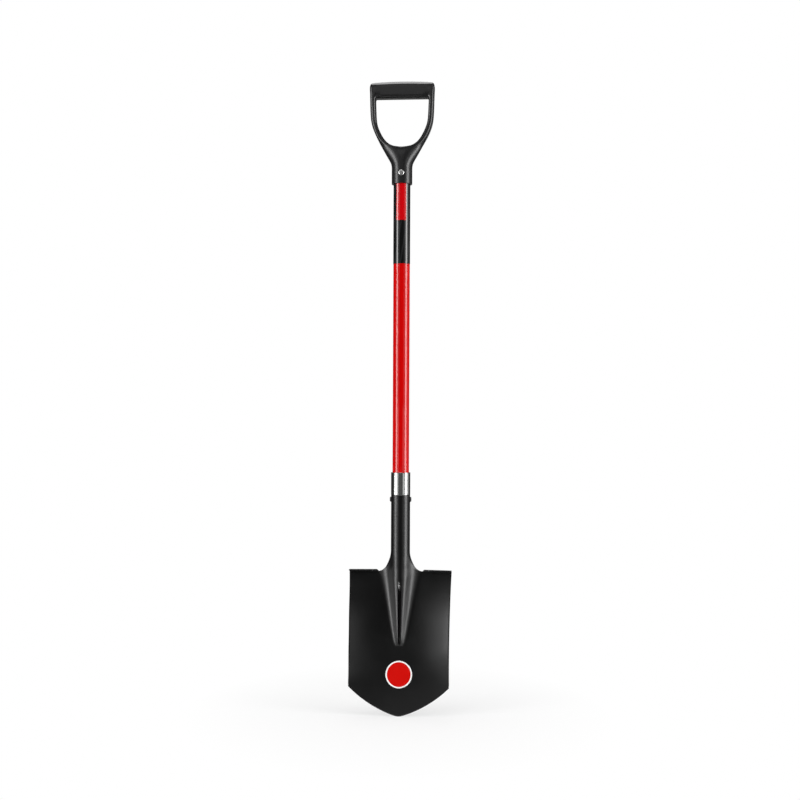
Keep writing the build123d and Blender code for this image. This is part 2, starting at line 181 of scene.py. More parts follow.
class GripSizes(bpy.types.PropertyGroup):
    """Moulded D grip."""

    socket: length("Socket radius", "Outer radius of the grip's socket", 0.0195)
    bore: length("Bore radius", "Radius of the hole for the shaft", 0.0160)
    bore_depth: length("Bore depth", "Open stretch of the hole", 0.012)
    half_depth: length("Half depth", "Half depth of bar and arms", 0.0127)
    arm_round: length("Arm rounding", "Radius of the arms' outer edges", 0.0053)
    bar_bevel: length("Bar bevel", "Flat bevel along the bar's top edges", 0.0057)
    lip: length("Lip", "Width of the bevel round the opening", 0.0034)
    lip_fall: length("Lip fall", "Depth of the bevel round the opening", 0.0025)
    crispness: share("Crispness", "How sharply the bar's bevel ends", 0.7)
    smoothing: IntProperty(name="Smoothing", description="Subdivision levels", default=3, min=1, max=4)


class FixingSizes(bpy.types.PropertyGroup):
    """Ferrule, rivet, screw, sticker and the shaft's round pieces."""

    turned_sides: IntProperty(name="Sides", description="Sides of a turned piece", default=96, min=24, max=256)
    edge_break: length("Edge break", "Small rounding of turned edges", 0.0007)
    ferrule_gap: length("Ferrule gap", "Between the ferrule and the shaft", 0.00015)
    shaft_wall: length("Shaft wall", "Wall of the fibreglass tube", 0.004)
    sleeve_gap: length("Sleeve gap", "Between the sleeve and the shaft", 0.00005)
    panel_half: length("Panel half width", "Half width of the sleeve's red panel", 0.0094)
    panel_height: length("Panel height", "Red panel below the top of the sleeve", 0.0695)
    sticker_rim: length("Sticker rim", "Width of the pale rim", 0.0028)
    sticker_fit: share("Sticker fit", "Share of the solid film's width", 0.95)
    sticker_drop: length("Sticker drop", "Sticker below the solid film's middle", 0.0011)
    sticker_film: length("Sticker film", "Thickness of the sticker", 0.00028)
    rivet_dome: length("Rivet dome", "Rounding of the rivet's heads", 0.0019)
    screw_head: length("Screw head", "Height of the screw's head", 0.0032)
    screw_dome: length("Screw dome", "Rounding of the screw's head", 0.0017)
    screw_shank: length("Screw shank", "Radius of the screw's shank", 0.0024)
    screw_turn: angle("Screw turn", "Turn of the cross recess", 0.35)


class Finishes(bpy.types.PropertyGroup):
    """Colours of the finishes."""

    coat: tint("Blade coat", "Black coat on the steel", (0.0018, 0.0018, 0.0019))
    # Pale flecks at the crease's top: bare welded steel, its light grey a painted highlight for the glints
    weld: tint("Weld", "Bare flecks of weld", (0.42, 0.42, 0.42))
    worn: tint("Worn steel", "Rivet heads where the coat has worn", (0.32, 0.32, 0.32))
    plastic: tint("Grip plastic", "Black moulded plastic", (0.009, 0.009, 0.0094))
    fibreglass: tint("Fibreglass", "Red shaft", (0.64, 0.0, 0.0))
    film: tint("Sleeve film", "Black film", (0.004, 0.004, 0.0042))
    panel: tint("Sleeve panel", "Red panel on the film", (0.62, 0.0, 0.003))
    sticker: tint("Sticker", "Red of the round sticker", (0.58, 0.003, 0.001))
    rim: tint("Sticker rim", "Pale rim of the sticker", (0.86, 0.86, 0.85))
    bright: tint("Ferrule metal", "Bright metal", (0.46, 0.47, 0.46))
    zinc: tint("Zinc", "Plated screw", (0.82, 0.82, 0.81))
    wood: tint("Core wood", "Plugs inside the shaft", (0.50, 0.36, 0.20))


class StageSettings(bpy.types.PropertyGroup):
    """Camera, surroundings and floor."""

    distance: length("Camera distance", "From the lens to the shaft axis", 2.2)
    lens: FloatProperty(name="Lens", description="Focal length in millimetres", default=52.1, min=10, max=200)
    azimuth: angle("Azimuth", "Camera to the right of the front", radians(4.5))
    roll: angle("Roll", "Lean of the object's top to the right", radians(0.25))
    aim_x: length("Aim sideways", "Point in the middle of the view", -0.002)
    aim_z: length("Aim height", "Point in the middle of the view", -0.5723)
    floor: tint("Floor", "Pale floor", (0.92, 0.92, 0.92))
    floor_radius: length("Floor radius", "Radius of the floor", 0.45)
    floor_white: share("Floor white", "White in the floor under the object", 0.62)
    world: share("World", "Grey of the surroundings", 0.05)


# Working with pieces

def deselect():
    if bpy.context.mode != "OBJECT":
        bpy.ops.object.mode_set(mode="OBJECT")
    bpy.ops.object.select_all(action="DESELECT")


def activate(piece):
    """Makes a piece the only selected one."""
    deselect()
    bpy.context.view_layer.objects.active = piece
    piece.select_set(True)


def named(name):
    """The piece just added, under its own name and with its place applied."""
    piece = bpy.context.active_object
    piece.name = name
    piece.data.name = name
    bpy.ops.object.transform_apply()
    return piece


def open_edit(piece):
    """Opens a piece with all of it selected."""
    activate(piece)
    bpy.ops.object.mode_set(mode="EDIT")
    bpy.ops.mesh.select_all(action="SELECT")


def close_edit():
    bpy.ops.object.mode_set(mode="OBJECT")


def pick(piece, kind, test):
    """Selects the vertices, edges or faces of the open piece that pass a test."""
    bpy.ops.mesh.select_mode(type=kind.removesuffix("s").upper())
    bpy.ops.mesh.select_all(action="DESELECT")
    mesh = bmesh.from_edit_mesh(piece.data)
    for item in getattr(mesh, kind):
        item.select_set(bool(test(item)))
    mesh.select_flush_mode()
    bmesh.update_edit_mesh(piece.data)


def modifier(piece, kind, **settings):
    """Adds a modifier and applies it."""
    activate(piece)
    added = piece.modifiers.new(kind.title(), kind)
    for key, value in settings.items():
        setattr(added, key, value)
    bpy.ops.object.modifier_apply(modifier=added.name)


def face_outwards(piece):
    """Merges a closed piece's seams and turns its faces outwards."""
    open_edit(piece)
    bpy.ops.mesh.remove_doubles(threshold=SEAM)
    bpy.ops.mesh.normals_make_consistent()
    close_edit()


def face_front(piece, top=0.0):
    """Turns an open sheet's faces to the front, judged by those below a height."""
    open_edit(piece)
    bpy.ops.mesh.normals_make_consistent()
    close_edit()
    if sum(face.normal.y for face in piece.data.polygons if face.center.z < top) > 0:
        open_edit(piece)
        bpy.ops.mesh.flip_normals()
        close_edit()


def round_rims(piece, offset, segments, test):
    """Rounds those sharp edges of a piece whose middle passes a test."""
    open_edit(piece)
    pick(piece, "edges", lambda e: e.calc_face_angle(0) > SHARP and test((e.verts[0].co + e.verts[1].co) / 2))
    bpy.ops.mesh.bevel(offset=offset, segments=segments)
    close_edit()


def settle(piece, crease, material, solid):
    """Smooths a finished piece up to a crease angle, gives it its material in a slot, hangs it on the root body and
    hides the solid it stands for.
    """
    activate(piece)
    bpy.ops.object.shade_smooth_by_angle(angle=radians(crease))
    piece.data.materials.clear()
    piece.data.materials.append(material)
    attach(piece, "root")
    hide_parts(solid)


def draped(name, rows):
    """Grid primitive laid on rows of points."""
    bpy.ops.mesh.primitive_grid_add(x_subdivisions=len(rows[0]) - 1, y_subdivisions=len(rows) - 1, size=1)
    piece = named(name)
    spots = [spot for row in rows for spot in row]
    if len(spots) != len(piece.data.vertices):
        raise RuntimeError(f"{name}: {len(spots)} points for {len(piece.data.vertices)} vertices")
    piece.data.vertices.foreach_set("co", [value for spot in spots for value in spot])
    piece.data.update()
    return piece


def turned(name, sides, inner, outer, low, high, guard=0.0):
    """Round tube on the shaft axis: a circle drawn round its section. A guard adds loops near the rims."""
    section = [(outer, low), (outer, high), (inner, high), (inner, low)]
    if guard:
        section[1:1] = [(outer, low + guard), (outer, high - guard)]
    bpy.ops.mesh.primitive_circle_add(vertices=sides, radius=inner, location=(0, 0, low))
    piece = named(name)
    open_edit(piece)
    radius, level = inner, low
    for next_radius, next_level in section:
        bpy.ops.mesh.extrude_region_move(TRANSFORM_OT_translate={"value": (0, 0, next_level - level)})
        ratio = next_radius / radius
        bpy.ops.transform.resize(value=(ratio, ratio, 1), center_override=(0, 0, next_level))
        radius, level = next_radius, next_level
    close_edit()
    face_outwards(piece)
    return piece


def joined(name, pieces):
    """One piece from several, their seams merged."""
    deselect()
    for piece in pieces:
        piece.select_set(True)
    bpy.context.view_layer.objects.active = pieces[0]
    bpy.ops.object.join()
    piece = named(name)
    open_edit(piece)
    bpy.ops.mesh.remove_doubles(threshold=2 * SEAM)
    close_edit()
    return piece


# Materials

def material(name):
    """Fresh node material with its shader and object coordinates."""
    made = bpy.data.materials.new(name)
    made.use_nodes = True
    tree = made.node_tree
    return made, tree.nodes["Principled BSDF"], node(tree, "ShaderNodeTexCoord").outputs["Object"]


def rgba(colour):
    return (*colour, 1.0)


def fill(item, inputs):
    """Sets a node's inputs, each to a plain value or another node's output."""
    for key, value in dict(inputs).items():
        if isinstance(value, bpy.types.NodeSocket):
            item.id_data.links.new(value, item.inputs[key])
        else:
            item.inputs[key].default_value = value


def node(near, kind, inputs=(), **settings):
    """Adds a node to a tree, or to the tree of a socket."""
    added = near.id_data.nodes.new(kind)
    for key, value in settings.items():
        setattr(added, key, value)
    fill(added, inputs)
    return added


def math_node(operation, first, second=0.0):
    return node(first, "ShaderNodeMath", {0: first, 1: second}, operation=operation).outputs[0]


def product(first, *others):
    for value in others:
        first = math_node("MULTIPLY", first, value)
    return first


def distance(first, second):
    """Length of a step from its two sides."""
    squares = [math_node("POWER", value, 2.0) for value in (first, second)]
    return math_node("SQRT", math_node("ADD", *squares))


def mix_colours(factor, first, second):
    return node(factor, "ShaderNodeMix", {0: factor, 6: first, 7: second}, data_type="RGBA").outputs[2]


def two_tone(factor, colour, first, second):
    """Colour that varies between two shares of itself."""
    tones = [rgba([min(1.0, value * part) for value in colour]) for part in (first, second)]
    return mix_colours(factor, *tones)


def span(value, low, high, to_low, to_high):
    """Maps a range to another, clamped."""
    return node(value, "ShaderNodeMapRange", enumerate((value, low, high, to_low, to_high))).outputs[0]


def parts_of(place):
    return node(place, "ShaderNodeSeparateXYZ", {"Vector": place}).outputs


def noise(place, scale, detail):
    return node(place, "ShaderNodeTexNoise", {"Vector": place, "Scale": scale, "Detail": detail}).outputs["Fac"]


def grain_group():
    """Shared surface grain: height of a fine texture, and broad patches."""
    if "Surface grain" in bpy.data.node_groups:
        return bpy.data.node_groups["Surface grain"]
    group = bpy.data.node_groups.new("Surface grain", "ShaderNodeTree")
    layers = (("Fine Scale", "Height", 3.0), ("Patch Scale", "Patches", 5.0))
    group.interface.new_socket("Place", in_out="INPUT", socket_type="NodeSocketVector")
    for scale, result, _ in layers:
        group.interface.new_socket(scale, in_out="INPUT", socket_type="NodeSocketFloat")
        group.interface.new_socket(result, in_out="OUTPUT", socket_type="NodeSocketFloat")
    start = group.nodes.new("NodeGroupInput").outputs
    end = group.nodes.new("NodeGroupOutput").inputs
    for scale, result, detail in layers:
        group.links.new(noise(start["Place"], start[scale], detail), end[result])
    return group


def surface(name, stretch=None):
    """Fresh material with its grain, stretched along the shaft where a scale is given."""
    fine, patch, least, most, lifting, strength, depth = GRAIN[name]
    made, shader, place = material(name)
    if stretch:
        place = node(place, "ShaderNodeMapping", {"Vector": place, "Scale": (1.0, 1.0, stretch)}).outputs["Vector"]
    scales = {"Place": place, "Fine Scale": fine, "Patch Scale": patch}
    marks = node(place, "ShaderNodeGroup", scales, node_tree=grain_group()).outputs
    rough = span(marks["Patches"], 0.3, 0.7, least, most)
    lifted = node(place, "ShaderNodeBump", {"Height": marks[lifting], "Strength": strength, "Distance": depth})
    fill(shader, {"Roughness": rough, "Normal": lifted.outputs["Normal"]})
    return made, shader, place, marks["Patches"]


def plain_finish(name, colour, first, second, metallic=0.0, stretch=None):
    """Material whose colour varies in patches between two shares of itself."""
    made, shader, _, patches = surface(name, stretch)
    fill(shader, {"Base Color": two_tone(patches, colour, first, second), "Metallic": metallic})
    return made


def coat_finish(colours, sizes):
    """Black coat, with pale flecks at the top of the frog's crease: bare welded steel, painted light grey as a
    highlight that stands in for its glints.
    """
    made, shader, place, patches = surface("Blade coat")
    spot = parts_of(place)
    level = math_node("SUBTRACT", spot["Z"], sizes.fold - sizes.weld_glint_drop)
    along = span(math_node("ABSOLUTE", level), sizes.weld * 0.6, sizes.weld, 1.0, 0.0)
    aside = math_node("ABSOLUTE", math_node("ADD", spot["X"], sizes.groove_half / 2))
    across = span(aside, sizes.groove_half * 0.3, sizes.groove_half * 0.8, 1.0, 0.0)
    front = math_node("LESS_THAN", spot["Y"], 0.0)
    flecks = span(noise(place, 420.0, 3.0), 0.52, 0.58, 0.0, 1.0)
    # Flecks of bare welded steel; their light grey is a painted highlight that stands in for their glints
    bare = product(along, across, front, flecks)
    shade = mix_colours(bare, two_tone(patches, colours.coat, 0.75, 1.3), rgba(colours.weld))
    fill(shader, {"Base Color": shade})
    return made


def film_finish(colours, sizes):
    """Black film with faint slanted strokes and a red panel on its front."""
    made, shader, place, patches = surface("Sleeve film")
    slanted = node(place, "ShaderNodeMapping", {"Vector": place, "Scale": (1.0, 0.0, -0.17)}).outputs["Vector"]
    strokes = {"Vector": slanted, "Scale": 55.0, "Distortion": 1.5, "Detail": 2.0}
    wave = node(place, "ShaderNodeTexWave", strokes, bands_direction="DIAGONAL")
    faint = span(wave.outputs["Fac"], 0.75, 0.95, 0.0, 1.0)
    black = two_tone(faint, colours.film, 1.0, 4.0)
    red = two_tone(patches, colours.panel, 0.94, 1.04)
    spot = parts_of(place)
    panel = product(
        math_node("LESS_THAN", math_node("ABSOLUTE", spot["X"]), sizes.panel_half),
        math_node("GREATER_THAN", spot["Z"], SLEEVE_HIGH.z - sizes.panel_height),
        math_node("LESS_THAN", spot["Y"], 0.0),
    )
    fill(shader, {"Base Color": mix_colours(panel, black, red), "IOR": 1.6})
    return made


def sticker_place(sizes):
    """Middle and radius of the sticker."""
    centre = (STICKER_LOW + STICKER_HIGH) / 2 - Vector((0, 0, sizes.sticker_drop))
    return centre, (STICKER_HIGH.x - STICKER_LOW.x) / 2 * sizes.sticker_fit


def sticker_finish(colours, sizes):
    """Red film with a pale rim."""
    made, shader, place, patches = surface("Sticker film")
    spot = parts_of(place)
    centre, radius = sticker_place(sizes)
    away = distance(math_node("SUBTRACT", spot["X"], centre.x), math_node("SUBTRACT", spot["Z"], centre.z))
    inner, blur = radius - sizes.sticker_rim, 0.0002
    rim = span(away, inner - blur, inner + blur, 0.0, 1.0)
    red = two_tone(patches, colours.sticker, 0.95, 1.04)
    fill(shader, {"Base Color": mix_colours(rim, red, rgba(colours.rim)), "Specular IOR Level": 0.15})
    return made


def bright_finish(colours):
    """Bright collar metal with soft ripples and small pits, more of them towards its top."""
    made, shader, place, _ = surface("Ferrule metal")
    pits = span(noise(place, 330.0, 2.0), 0.58, 0.68, 0.0, 0.7)
    upper = span(parts_of(place)["Z"], FERRULE_LOW.z, FERRULE_HIGH.z, 0.2, 1.0)
    shade = two_tone(product(pits, upper), colours.bright, 1.0, 0.35)
    fill(shader, {"Base Color": shade, "Metallic": 1.0})
    return made


def rivet_finish(colours):
    """Blackened steel, worn bare in places at the tops of the heads."""
    made, shader, place, patches = surface("Rivet steel")
    aside = math_node("ABSOLUTE", parts_of(place)["X"])
    top = span(aside, RIVET_HIGH.x - 0.0012, RIVET_HIGH.x - 0.0003, 0.0, 0.8)
    worn = product(top, patches)
    dark = [value * 1.4 for value in colours.coat]
    fill(shader, {"Base Color": mix_colours(worn, rgba(dark), rgba(colours.worn)), "Metallic": worn})
    return made


def wood_finish(colours):
    """Pale wood with rings drawn out along the shaft."""
    made, shader, along, _ = surface("Core wood", stretch=0.06)
    rings = node(along, "ShaderNodeTexWave", {"Vector": along, "Scale": 90.0, "Distortion": 3.0}, wave_type="RINGS")
    fill(shader, {"Base Color": two_tone(rings.outputs["Fac"], colours.wood, 0.6, 1.0)})
    return made


# Blade form

def ease(value):
    """Smooth step from nought to one."""
    value = min(1.0, max(0.0, value))
    return value * value * (3 - 2 * value)


def blend(first, second, amount):
    return first + (second - first) * amount


def arc_through(first, between, last):
    """Centre and radius of the circle through three points of the plane."""
    (ax, ay), (bx, by), (cx, cy) = first, between, last
    twice = 2 * (ax * (by - cy) + bx * (cy - ay) + cx * (ay - by))
    a, b, c = ax * ax + ay * ay, bx * bx + by * by, cx * cx + cy * cy
    x = (a * (by - cy) + b * (cy - ay) + c * (ay - by)) / twice
    y = (a * (cx - bx) + b * (ax - cx) + c * (bx - ax)) / twice
    return x, y, hypot(ax - x, ay - y)


class BladeForm:
    """Front face of the sheet as a function of place. Drops are measured below the fold line."""

    TIP_HOLD = 0.35       # share of the point's softening by which the edge is let down again
    FLARE_POWER = 8       # how close to the fold line the frog's foot flares
    CREASE_WALL = 0.62    # share of the crease's half width taken up by its wall

    def __init__(self, sizes):
        self.sizes = sizes
        depth = sizes.fold - sizes.tip
        corner = (sizes.corner, sizes.corner_drop)
        self.side = arc_through((sizes.half_width, 0.0), (sizes.waist, sizes.waist_drop), corner)
        run = (-corner[0], depth - corner[1])
        bow = sizes.edge_bow / hypot(*run)
        between = (corner[0] / 2 + run[1] * bow, (corner[1] + depth) / 2 - run[0] * bow)
        self.edge = arc_through(corner, between, (0.0, depth))

    def half_width(self, drop):
        x, y, radius = self.side
        return x - sqrt(radius ** 2 - (drop - y) ** 2)

    def edge_drop(self, aside):
        """Drop of the lower edge."""
        x, y, radius = self.edge
        soft = hypot(aside, self.sizes.tip_soften) - self.sizes.tip_soften * self.TIP_HOLD
        return y + sqrt(radius ** 2 - (soft - x) ** 2)

    def front(self, drop):
        return self.sizes.set_back - drop * tan(self.sizes.lift)

    def frog_sizes(self, drop):
        """Rise, crest radius, foot radius and flank slope of the frog."""
        sizes = self.sizes
        part = min(1.0, max(0.0, drop / sizes.frog_length))
        foot = blend(sizes.foot_top, sizes.foot_end, part) + sizes.foot_flare * (1 - part) ** self.FLARE_POWER
        rise = blend(sizes.set_back + sizes.socket, sizes.frog_rise, part)
        crest = blend(sizes.socket, sizes.frog_crest, part)
        return rise, crest, foot, blend(sizes.frog_slope, sizes.frog_slope_end, part)

    def reach(self, drop):
        """Half width of the frog where it runs out into the blade."""
        rise, crest, foot, slope = self.frog_sizes(drop)
        flank = (rise - (crest + foot) * (1 - cos(slope))) / sin(slope)
        return (crest + foot) * sin(slope) + flank * cos(slope)

    def frog(self, aside, drop):
        """Forward rise of the frog over the plate."""
        sizes = self.sizes
        rise, crest, foot, slope = self.frog_sizes(drop)
        reach = self.reach(drop)
        aside = abs(aside)
        if aside >= reach:
            return 0.0
        if aside > reach - foot * sin(slope):
            height = foot - sqrt(foot ** 2 - (reach - aside) ** 2)
        elif aside < crest * sin(slope):
            height = rise - crest + sqrt(crest ** 2 - aside ** 2)
        else:
            height = foot * (1 - cos(slope)) + (reach - foot * sin(slope) - aside) * tan(slope)
        lobe = 1 - ((aside - sizes.lobe_place) / sizes.lobe) ** 2
        end = sizes.frog_length + sizes.lobe_point * (sqrt(max(0.0, lobe)) - 1)
        fade = (drop - end + sizes.frog_end) / sizes.frog_end
        height *= sqrt(max(0.0, 1 - max(0.0, fade) ** 2))
        depth = min(height, sizes.groove_depth * ease((drop - sizes.groove_start) / sizes.groove_run))
        return height - depth * ease((sizes.groove_half - aside) / (sizes.groove_half * self.CREASE_WALL))

    def dish(self, aside, drop):
        """Forward rise of the sides over the flat middle."""
        sizes = self.sizes
        wing = max(0.0, abs(aside) - sizes.dish_start) / (sizes.half_width - sizes.dish_start)
        deep = blend(sizes.dish_top, 1.0, ease(drop / sizes.dish_run))
        deep *= blend(1.0, sizes.dish_low, ease((drop - sizes.dish_fade) / sizes.dish_fade_run))
        return sizes.dish * deep * wing ** 2

    def point(self, aside, drop):
        forward = self.frog(aside, drop) + self.dish(aside, drop)
        return Vector((aside, self.front(drop) - forward, self.sizes.fold - drop))

    def rounded_corner(self, aside, drop):
        """Draws a point near the lower right corner in to its rounding."""
        sizes = self.sizes
        step = 0.02
        corner = Vector((sizes.corner, sizes.corner_drop))
        nearer, above = corner.x - step, corner.y - step
        up = (Vector((self.half_width(above), above)) - corner).normalized()
        along = (Vector((nearer, self.edge_drop(nearer))) - corner).normalized()
        half = up.angle(along) / 2
        bisector = (up + along).normalized()
        centre = corner + bisector * (sizes.corner_round / sin(half))
        away = Vector((aside, drop)) - centre
        turn = away.angle(-bisector, pi)
        limit = pi / 2 - half
        if turn > limit:
            return aside, drop
        farthest = sizes.corner_round / cos(limit - turn)
        pull = (away.length / farthest) ** 3
        away *= 1 - min(1.0, pull) * (1 - sizes.corner_round / farthest)
        return centre + away


def column_places(form, drop):
    """Half row of columns at a drop: crease, frog out to the neck's edge, and wing."""
    crease = [form.sizes.groove_half * step / (CREASE_COLUMNS - 3) for step in range(CREASE_COLUMNS)]
    edge = form.sizes.neck_reach * form.reach(drop) / form.reach(0.0)
    frog = [blend(crease[-1], edge, step / FROG_COLUMNS) for step in range(1, FROG_COLUMNS + 1)]
    width = form.half_width(drop)
    wing = [blend(edge, width, step / WING_COLUMNS) for step in range(1, WING_COLUMNS + 1)]
    return crease + frog + wing


def flipped(spots):
    """The same points on the other side of the shaft axis."""
    return [Vector((-spot.x, spot.y, spot.z)) for spot in spots]


def mirrored(half):
    """Whole row from its right half, the middle first."""
    return flipped(half[:0:-1]) + half


def blade_rows(form):
    """Rows from the fold line down to the lower edge, columns evening out below the frog."""
    sizes = form.sizes
    top = column_places(form, 0.0)
    rows = []
    for step in range(BLADE_ROWS + 1):
        half = []
        for index, nominal in enumerate(top):
            drop = step / BLADE_ROWS * form.edge_drop(nominal / sizes.half_width * sizes.corner)
            even = nominal / sizes.half_width * form.half_width(drop)
            below = ease((drop - sizes.frog_length) / sizes.even_run)
            aside = blend(column_places(form, drop)[index], even, below)
            half.append(form.point(*form.rounded_corner(aside, drop)))
        rows.append(mirrored(half))
    return rows


def neck_rows(form, base):
    """Rows from the fold line up the neck and round the socket; base is the half row at the fold."""
    sizes = form.sizes
    lengths = [0.0]
    for before, after in zip(base, base[1:]):
        lengths.append(lengths[-1] + (after - before).length)
    along = [value / lengths[-1] for value in lengths]
    top = sizes.fold + sizes.neck
    mouth = top + sizes.mouth
    rows = []

    def rolled(level, wrap):
        return [Vector((sizes.socket * sin(wrap * part), -sizes.socket * cos(wrap * part), level)) for part in along]

    for step in range(NECK_ROWS + 1):
        rise = step / NECK_ROWS
        level = sizes.fold + sizes.neck * rise
        edge = 1 - (1 - rise ** sizes.neck_round) ** sizes.neck_flare
        half = []
        for start, end, part in zip(base, rolled(level, sizes.neck_wrap), along):
            spot = start.lerp(end, blend(ease(rise), edge, part ** 3))
            spot.z = level
            half.append(spot)
        rows.append(mirrored(half))
    for step in range(1, MOUTH_ROWS + 1):
        rise = step / MOUTH_ROWS
        rows.append(mirrored(rolled(top + sizes.mouth * rise, blend(sizes.neck_wrap, pi, ease(rise)))))
    for step in range(1, SOCKET_ROWS + 1):
        rows.append(mirrored(rolled(blend(mouth, SOCKET_RIM, step / SOCKET_ROWS), pi)))
    return rows


def tread_rows(form, base):
    """Rows of the right tread; base is the part of the fold row that it grows from."""
    sizes = form.sizes
    arc = sizes.tread_bend * pi / 2
    whole = arc + sizes.tread - sizes.tread_bend
    rows = []
    for step in range(TREAD_ROWS + 1):
        row = []
        for spot in base:
            amount = ease((spot.x - sizes.neck_reach) / (sizes.tread_full - sizes.neck_reach))
            run = whole * amount * step / TREAD_ROWS
            turn = min(run, arc) / sizes.tread_bend
            forward = sizes.tread_bend * (1 - cos(turn)) + max(0.0, run - arc)
            row.append(Vector((spot.x, spot.y - forward, spot.z + sizes.tread_bend * sin(turn))))
        rows.append(row)
    return rows


class SPADE_OT_blade(bpy.types.Operator):
    """Blade sheet with frog, treads, neck and socket"""

    bl_idname = "spade.blade"
    bl_label = "Blade"

    def execute(self, context):
        sizes = context.scene.spade_blade
        form = BladeForm(sizes)
        rows = blade_rows(form)
        base = rows[0][len(rows[0]) // 2:]
        inner = CREASE_COLUMNS + FROG_COLUMNS - 1
        tread = tread_rows(form, base[inner:])
        piece = joined("blade_sheet", [
            draped("blade_sheet", rows),
            draped("neck", neck_rows(form, base[:inner + 1])),
            draped("tread_right", tread),
            draped("tread_left", [flipped(row) for row in tread]),
        ])
        zone_height, zone_half = 0.010, 0.040
        open_edit(piece)
        pick(piece, "verts", lambda v: abs(v.co.z - sizes.fold) < zone_height and abs(v.co.x) < zone_half
             and not v.is_boundary)
        bpy.ops.mesh.vertices_smooth(factor=0.5, repeat=12)
        close_edit()
        face_front(piece, sizes.fold)
        modifier(piece, "SOLIDIFY", thickness=sizes.sheet, offset=-1.0, use_even_offset=True)
        modifier(piece, "BEVEL", width=sizes.edge_soften, segments=2, limit_method="ANGLE", angle_limit=radians(55))
        settle(piece, 40, coat_finish(context.scene.spade_finishes, sizes), "blade")
        return {"FINISHED"}


class SPADE_OT_sticker(bpy.types.Operator):
    """Round film that follows the blade's front"""

    bl_idname = "spade.sticker"
    bl_label = "Sticker"

    def execute(self, context):
        sizes = context.scene.spade_fixings
        form = BladeForm(context.scene.spade_blade)
        centre, radius = sticker_place(sizes)
        bpy.ops.mesh.primitive_circle_add(vertices=sizes.turned_sides, radius=radius)
        piece = named("sticker_disc")
        open_edit(piece)
        ring_steps = (0.985, 0.8, 0.75, 0.66, 0.5, 0.02)
        for ratio in ring_steps:
            bpy.ops.mesh.extrude_region_move()
            bpy.ops.transform.resize(value=(ratio, ratio, 1), center_override=(0, 0, 0))
        bpy.ops.mesh.edge_face_add()
        close_edit()
        lean = atan2(form.front(0.0) - form.front(radius), radius)
        for vertex in piece.data.vertices:
            drop = form.sizes.fold - centre.z - vertex.co.y * cos(lean)
            vertex.co = form.point(centre.x + vertex.co.x, drop)
        face_front(piece)
        modifier(piece, "SOLIDIFY", thickness=sizes.sticker_film, offset=1.0)
        settle(piece, 50, sticker_finish(context.scene.spade_finishes, sizes), "blade_sticker")
        return {"FINISHED"}


class SPADE_OT_ferrule(bpy.types.Operator):
    """Bright collar on the socket's rim"""

    bl_idname = "spade.ferrule"
    bl_label = "Ferrule"

    def execute(self, context):
        sizes = context.scene.spade_fixings
        inner = SHAFT_HIGH.x + sizes.ferrule_gap
        piece = turned("ferrule_collar", sizes.turned_sides, inner, FERRULE_HIGH.x, FERRULE_LOW.z, FERRULE_HIGH.z,
                       guard=2 * sizes.edge_break)
        round_rims(piece, sizes.edge_break, 3, lambda spot: spot.xy.length > inner + sizes.edge_break)
        settle(piece, 35, bright_finish(context.scene.spade_finishes), "socket_ferrule")
        return {"FINISHED"}


class SPADE_OT_rivet(bpy.types.Operator):
    """Through rivet with two domed heads"""

    bl_idname = "spade.rivet"
    bl_label = "Rivet"

    def execute(self, context):
        level = (RIVET_LOW.z + RIVET_HIGH.z) / 2
        half = RIVET_HIGH.x
        bpy.ops.mesh.primitive_cylinder_add(
            vertices=40, radius=RIVET_HIGH.z - level, depth=2 * half, location=(0, 0, level), rotation=(0, pi / 2, 0)
        )
        piece = named("socket_rivet_heads")
        round_rims(piece, context.scene.spade_fixings.rivet_dome, 6, lambda spot: abs(spot.x) > half - SEAM)
        settle(piece, 40, rivet_finish(context.scene.spade_finishes), "socket_rivet")
        return {"FINISHED"}


class SPADE_OT_shaft(bpy.types.Operator):
    """Fibreglass tube, film sleeve and the plugs inside"""

    bl_idname = "spade.shaft"
    bl_label = "Shaft"

    def execute(self, context):
        sizes = context.scene.spade_fixings
        finishes = context.scene.spade_finishes
        radius = SHAFT_HIGH.x
        tube = turned("shaft_tube_skin", sizes.turned_sides, radius - sizes.shaft_wall, radius,
                      SHAFT_LOW.z, SHAFT_HIGH.z)
        red = plain_finish("Shaft fibreglass", finishes.fibreglass, 0.93, 1.07, stretch=0.02)
        settle(tube, 35, red, "shaft_tube")
        sleeve = turned("shaft_sleeve_film", sizes.turned_sides, radius + sizes.sleeve_gap, SLEEVE_HIGH.x,
                        SLEEVE_LOW.z, SLEEVE_HIGH.z)
        settle(sleeve, 35, film_finish(finishes, sizes), "shaft_sleeve")
        wood = wood_finish(finishes)
        for name in ("shaft_lower_core", "shaft_upper_core"):
            NODES[name].data.materials.clear()
            NODES[name].data.materials.append(wood)
        return {"FINISHED"}


